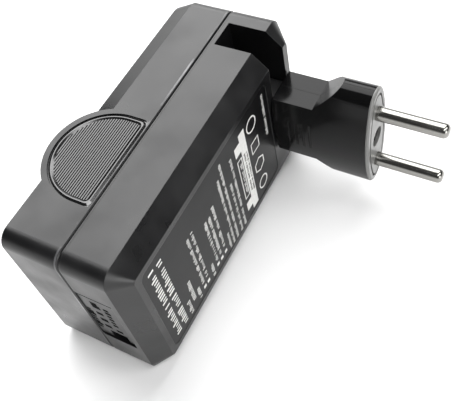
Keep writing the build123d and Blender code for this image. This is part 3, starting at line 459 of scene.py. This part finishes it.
def printRowTree():
    tree = bpy.data.node_groups.new("printRow", "GeometryNodeTree")
    sockets = {}
    for name, kind in rowInputs.items():
        sockets[name] = tree.interface.new_socket(name, in_out="INPUT", socket_type=kind).identifier
    tree.interface.new_socket("Print", in_out="OUTPUT", socket_type="NodeSocketGeometry")
    given = addNode(tree, "NodeGroupInput").outputs
    blocks = addNode(tree, "ShaderNodeMath", {
        0: given["Row Length"], 1: given["Block Pitch"],
    }, operation="DIVIDE")
    whole = addNode(tree, "ShaderNodeMath", {0: blocks.outputs[0]}, operation="FLOOR")
    step = addNode(tree, "ShaderNodeCombineXYZ", {"Z": given["Block Pitch"]})
    line = addNode(tree, "GeometryNodeMeshLine", {"Count": whole.outputs[0], "Offset": step.outputs[0]})
    gap = addNode(tree, "FunctionNodeRandomValue", {
        "Probability": given["Gap Share"], "Seed": given["Seed"],
    }, data_type="BOOLEAN")
    words = addNode(tree, "GeometryNodeDeleteGeometry", {
        "Geometry": line.outputs["Mesh"], "Selection": gap.outputs[randomChoice],
    }, domain="POINT")
    cube = addNode(tree, "GeometryNodeMeshCube", {"Size": (1, 1, 1)})
    standing = addNode(tree, "GeometryNodeTransform", {
        "Geometry": cube.outputs["Mesh"], "Translation": (-0.5, -0.5, 0.5),
    })
    tall, wide = (addNode(tree, "FunctionNodeRandomValue", {
        randomLow: blockSpread[side][0], randomHigh: blockSpread[side][1], "Seed": given["Seed"],
    }, data_type="FLOAT").outputs[randomNumber] for side in ("height", "width"))
    share = addNode(tree, "ShaderNodeMath", {0: wide, 1: given["Width Share"]}, operation="MULTIPLY")
    height = addNode(tree, "ShaderNodeMath", {0: tall, 1: given["Block Height"]}, operation="MULTIPLY")
    width = addNode(tree, "ShaderNodeMath", {
        0: share.outputs[0], 1: given["Block Pitch"],
    }, operation="MULTIPLY")
    size = addNode(tree, "ShaderNodeCombineXYZ", {
        "X": height.outputs[0], "Y": given["Ink Thickness"], "Z": width.outputs[0],
    })
    placed = addNode(tree, "GeometryNodeInstanceOnPoints", {
        "Points": words.outputs["Geometry"], "Instance": standing.outputs["Geometry"],
        "Scale": size.outputs[0],
    })
    real = addNode(tree, "GeometryNodeRealizeInstances", {"Geometry": placed.outputs["Instances"]})
    inked = addNode(tree, "GeometryNodeSetMaterial", {
        "Geometry": real.outputs["Geometry"], "Material": given["Ink"],
    })
    addNode(tree, "NodeGroupOutput", {"Print": inked.outputs["Geometry"]})
    return tree, sockets


rowTree, rowSockets = printRowTree()


def addRow(layer, look, length, height, seed, ink, place):
    # one row of blocks, evaluated to a plain mesh and moved to its place in the layer of ink
    carrier = bpy.data.objects.new("row", bpy.data.meshes.new("row"))
    bpy.context.scene.collection.objects.link(carrier)
    rows = carrier.modifiers.new("row", "NODES")
    rows.node_group = rowTree
    values = {
        "Row Length": length * mm, "Block Height": height * mm,
        "Block Pitch": look["pitchShare"] * (height * mm), "Ink Thickness": look["thickness"] * mm,
        "Gap Share": look["gapShare"], "Width Share": look["widthShare"], "Seed": seed, "Ink": ink,
    }
    for name, value in values.items():
        rows[rowSockets[name]] = value
    carrier.update_tag()
    shown = carrier.evaluated_get(bpy.context.evaluated_depsgraph_get())
    mesh = bpy.data.meshes.new_from_object(shown)
    mesh.transform(place)
    layer.from_mesh(mesh)
    bpy.data.meshes.remove(mesh)
    bpy.data.objects.remove(carrier)


def addBlock(layer, low, high):
    size = [b - a for a, b in zip(low, high)]
    middle = [(a + b) / 2 for a, b in zip(low, high)]
    bmesh.ops.create_cube(layer, size=1, matrix=Matrix.Translation(middle) @ Matrix.Diagonal((*size, 1)))


def addRing(layer, centre, outer, inner, thickness, sides):
    # a flat ring or frame with the given number of sides, facing -Y
    turn = [(i + 0.5) * math.tau / sides for i in range(sides)]
    loops = []
    for radius, rise in ((outer, 0), (outer, thickness), (inner, thickness), (inner, 0)):
        points = [Vector((radius * math.cos(a), -rise, radius * math.sin(a))) for a in turn]
        loops.append([layer.verts.new(centre + point) for point in points])
    for first, second in zip(loops, loops[1:] + loops[:1]):
        for i in range(sides):
            layer.faces.new((first[i - 1], first[i], second[i], second[i - 1]))


def finishPrint(layer, name, ink):
    bmesh.ops.recalc_face_normals(layer, faces=layer.faces)
    mesh = bpy.data.meshes.new(name)
    layer.to_mesh(mesh)
    layer.free()
    mesh.materials.clear()
    mesh.materials.append(ink)
    piece = bpy.data.objects.new(name, mesh)
    bpy.context.scene.collection.objects.link(piece)
    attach(piece, "charger")


# Label print, millimetres: each row's foot along X, its start and end along Z, and its height
labelPrint = {
    "thickness": 0.03, "pitchShare": 0.5, "widthShare": 0.6, "gapShare": 0.14, "seed": 7,
    "rows": [
        (-33.1, 8.9, 41.5, 2.4), (-29.8, 8.5, 42.0, 2.4),
        (-26.8, 7.9, 15.6, 1.6), (-24.3, 11.1, 21.0, 1.6), (-22.0, 7.4, 13.6, 1.3),
        (-19.5, 11.7, 34.3, 1.3), (-17.4, 12.0, 34.7, 1.3),
        (-14.3, 7.5, 14.3, 1.3), (-11.7, 11.3, 30.4, 1.3), (-9.7, 11.6, 30.4, 1.3), (-7.4, 12.0, 31.8, 1.3),
        (-4.6, 7.3, 14.7, 1.2), (-2.7, 7.1, 37.5, 1.2), (-0.5, 6.9, 41.5, 1.2),
        (2.1, 6.7, 29.4, 1.2), (4.3, 6.7, 37.2, 1.2), (23.5, 25.3, 41.8, 1.4),
        (8.3, 17.0, 30.2, 1.0),
    ],
    "bullets": [(-19.9, 9.4), (-17.9, 9.3), (-12.3, 9.3), (-10.1, 9.2), (-7.8, 9.3)],  # X, Z
    "bulletSize": 1.2,
    "bars": [  # a plain white field with two tabs, and a framed box beside it: lowest and highest X, then Z
        (9.2, 12.2, 7.2, 39.6), (6.3, 9.2, 9.6, 13.0), (6.3, 9.2, 33.6, 37.2),
        (6.4, 6.75, 15.0, 31.8), (8.5, 8.85, 15.0, 31.8),
        (6.75, 8.5, 15.0, 15.35), (6.75, 8.5, 31.45, 31.8),
    ],
    "fieldRows": [(10.6, 15.0, 31.6, 0.8), (11.8, 14.2, 31.0, 0.8)],  # black, on the field
    "marks": [  # plain outlines: X, Z, radius and number of sides
        (15.9, 37.0, 2.6, 48), (16.0, 28.4, 3.0, 4), (16.4, 19.6, 2.9, 6), (16.6, 11.2, 2.4, 48),
    ],
    "markStroke": 0.45,
}


def dressLabel():
    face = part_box("rating_label")[0].y
    thick = labelPrint["thickness"] * mm
    seed = labelPrint["seed"]
    white, dark = bmesh.new(), bmesh.new()
    for number, (foot, start, end, height) in enumerate(labelPrint["rows"]):
        place = Matrix.Translation((foot * mm, face, start * mm))
        addRow(white, labelPrint, end - start, height, seed + number, whiteInk, place)
    half = labelPrint["bulletSize"] / 2
    bullets = [(x - half, x + half, z - half, z + half) for x, z in labelPrint["bullets"]]
    for lowX, highX, lowZ, highZ in bullets + labelPrint["bars"]:
        addBlock(white, (lowX * mm, face - thick, lowZ * mm), (highX * mm, face, highZ * mm))
    for x, z, radius, sides in labelPrint["marks"]:
        centre = Vector((x * mm, face, z * mm))
        addRing(white, centre, radius * mm, (radius - labelPrint["markStroke"]) * mm, thick, sides)
    for number, (foot, start, end, height) in enumerate(labelPrint["fieldRows"]):
        place = Matrix.Translation((foot * mm, face - thick, start * mm))
        addRow(dark, labelPrint, end - start, height, seed - 1 - number, darkInk, place)
    finishPrint(white, "label_print_white", whiteInk)
    finishPrint(dark, "label_print_black", darkInk)


dressLabel()
print("label printed with", len(labelPrint["rows"]), "rows")


# Jack panel print and painted shade, millimetres: rows as on the label, but along Y, from the panel's corner
# nearest the label and the resting side, and a dark strip painted as the shade in a groove along the panel's
# top
panelPrint = {
    "thickness": 0.02, "pitchShare": 0.72, "widthShare": 1.0, "gapShare": 0.12, "seed": 31,
    "recess": 0.5, "start": 6.2, "foot": 13.05,  # where the panel lies in the jack end
    "rows": [(4.7, 5.0, 20.4, 2.4), (8.1, 5.6, 20.2, 2.5), (10.9, 3.6, 15.6, 2.0)],
    # painted shade: dark ink along the panel's top edge, standing in for the shade in a groove there
    "grooveShadeStrip": (0.6, 11.0, 21.3, 21.9),  # lowest and highest Y, then Z
}


def dressPanel():
    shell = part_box("rear_housing")[0]
    panelX = shell.x + panelPrint["recess"] * mm
    # the row's own frame is turned so that its height runs along -Y and its ink stands out along -X
    turn = Matrix(((0, 1, 0), (1, 0, 0), (0, 0, 1))).to_4x4()
    dark = bmesh.new()
    for number, (foot, start, end, height) in enumerate(panelPrint["rows"]):
        corner = Vector((
            panelX, shell.y + (panelPrint["start"] + foot) * mm, (panelPrint["foot"] + start) * mm,
        ))
        place = Matrix.Translation(corner) @ turn
        addRow(dark, panelPrint, end - start, height, panelPrint["seed"] + number, darkInk, place)
    # the strip of painted shade along the panel's top edge, drawn in dark ink
    lowY, highY, lowZ, highZ = panelPrint["grooveShadeStrip"]
    lowX = panelX - panelPrint["thickness"] * mm
    low = (lowX, shell.y + (panelPrint["start"] + lowY) * mm, (panelPrint["foot"] + lowZ) * mm)
    high = (panelX, shell.y + (panelPrint["start"] + highY) * mm, (panelPrint["foot"] + highZ) * mm)
    addBlock(dark, low, high)
    finishPrint(dark, "panel_print_and_painted_shade", darkInk)


dressPanel()
print("jack panel printed")


# Floor, lights and sky
studio = {
    "floor": "#f2f2f2", "floorRoughness": 0.9, "floorSize": 6.0,
    "paleFrom": 0.35, "paleTo": 1.1,  # metres from the object over which the floor turns plain white
    "lamps": {  # place in metres, the way its long side runs, its two sides and its power
        "key": ((0.42, 0.31, 0.63), (1.0, 0.0, 0.0), (0.92, 0.95), 14.0),
        "strip": ((-0.08, -0.38, 0.82), (0.87, -0.5, 0.0), (1.1, 0.26), 6.2),
        "fill": ((-0.4, -0.8, 0.35), (1.0, 0.0, 0.0), (0.5, 0.5), 3.2),
    },
    "sky": "#ffffff", "skyStrength": 0.08, "hazeStrength": 1.0,
    "haze": (0.12, 0.26),  # sine of the height over which the white horizon gives way to the dim sky
}


def seenRays(tree):
    # 1 for what the eye, metal and glass see of the backdrop, 0 for the light it throws on matt surfaces
    rays = addNode(tree, "ShaderNodeLightPath").outputs
    direct = addNode(tree, "ShaderNodeMath", {
        0: rays["Is Camera Ray"], 1: rays["Is Glossy Ray"],
    }, operation="MAXIMUM")
    return addNode(tree, "ShaderNodeMath", {
        0: direct.outputs[0], 1: rays["Is Transmission Ray"],
    }, operation="MAXIMUM").outputs[0]


def layFloor():
    half = studio["floorSize"] / 2
    corners = [(-half, -half, 0), (half, -half, 0), (half, half, 0), (-half, half, 0)]
    mesh = bpy.data.meshes.new("floor")
    mesh.from_pydata(corners, [], [(0, 1, 2, 3)])
    floor = bpy.data.objects.new("floor", mesh)
    bpy.context.scene.collection.objects.link(floor)
    paper, tree, shader, place = startMaterial(
        "Paper, white, matt", studio["floor"], studio["floorRoughness"]
    )
    mesh.materials.append(paper)
    away = addNode(tree, "ShaderNodeVectorMath", {0: place}, operation="LENGTH")
    pale = addNode(tree, "ShaderNodeMapRange", {
        "Value": away.outputs["Value"], "From Min": studio["paleFrom"], "From Max": studio["paleTo"],
    })
    shown = addNode(tree, "ShaderNodeMath", {
        0: pale.outputs["Result"], 1: seenRays(tree),
    }, operation="MULTIPLY")
    shader.inputs["Emission Color"].default_value = linear(studio["floor"])
    tree.links.new(shown.outputs[0], shader.inputs["Emission Strength"])


def hangLamps():
    for name, (spot, along, sides, power) in studio["lamps"].items():
        lamp = bpy.data.lights.new(name, "AREA")
        lamp.shape = "RECTANGLE"
        lamp.size, lamp.size_y = sides
        lamp.energy = power
        holder = bpy.data.objects.new(name, lamp)
        back = Vector(spot).normalized()
        across = back.cross(Vector(along)).normalized()
        turn = Matrix((across.cross(back), across, back)).transposed().to_4x4()
        holder.matrix_world = Matrix.Translation(spot) @ turn
        holder.visible_camera = False
        bpy.context.scene.collection.objects.link(holder)


def paintSky():
    world = bpy.context.scene.world or bpy.data.worlds.new("studio")
    bpy.context.scene.world = world
    world.use_nodes = True
    tree = world.node_tree
    background = tree.nodes["Background"]
    background.inputs["Color"].default_value = linear(studio["sky"])
    outward = addNode(tree, "ShaderNodeTexCoord").outputs["Generated"]
    upward = addNode(tree, "ShaderNodeSeparateXYZ", {0: outward})
    haze = addNode(tree, "ShaderNodeMapRange", {
        "Value": upward.outputs["Z"], "From Min": studio["haze"][0], "From Max": studio["haze"][1],
        "To Min": 1.0, "To Max": 0.0,
    })
    shown = addNode(tree, "ShaderNodeMath", {
        0: haze.outputs["Result"], 1: seenRays(tree),
    }, operation="MULTIPLY")
    strength = addNode(tree, "ShaderNodeMix", {
        "Factor": shown.outputs[0], "A": studio["skyStrength"], "B": studio["hazeStrength"],
    })
    tree.links.new(strength.outputs["Result"], background.inputs["Strength"])


layFloor()
hangLamps()
paintSky()

# Camera where the photograph was taken from, millimetres, rolled as it was held
cameraView = {
    "place": (-85.28, -67.22, 177.10), "look": (0.44607, 0.38330, -0.80877),
    "rollDeg": -15.77, "lens": 56.46, "sensor": 36.0, "clipStart": 5.0,
}


def setCamera():
    lens = bpy.data.cameras.new("camera")
    lens.lens = cameraView["lens"]
    lens.sensor_width = cameraView["sensor"]
    lens.clip_start = cameraView["clipStart"] * mm
    camera = bpy.data.objects.new("camera", lens)
    level = Vector(cameraView["look"]).to_track_quat("-Z", "Y").to_matrix().to_4x4()
    roll = Matrix.Rotation(math.radians(cameraView["rollDeg"]), 4, "Z")
    camera.matrix_world = Matrix.Translation(Vector(cameraView["place"]) * mm) @ level @ roll
    bpy.context.scene.collection.objects.link(camera)
    bpy.context.scene.camera = camera


setCamera()
bpy.context.scene.view_settings.view_transform = "Standard"
print("studio and camera set")
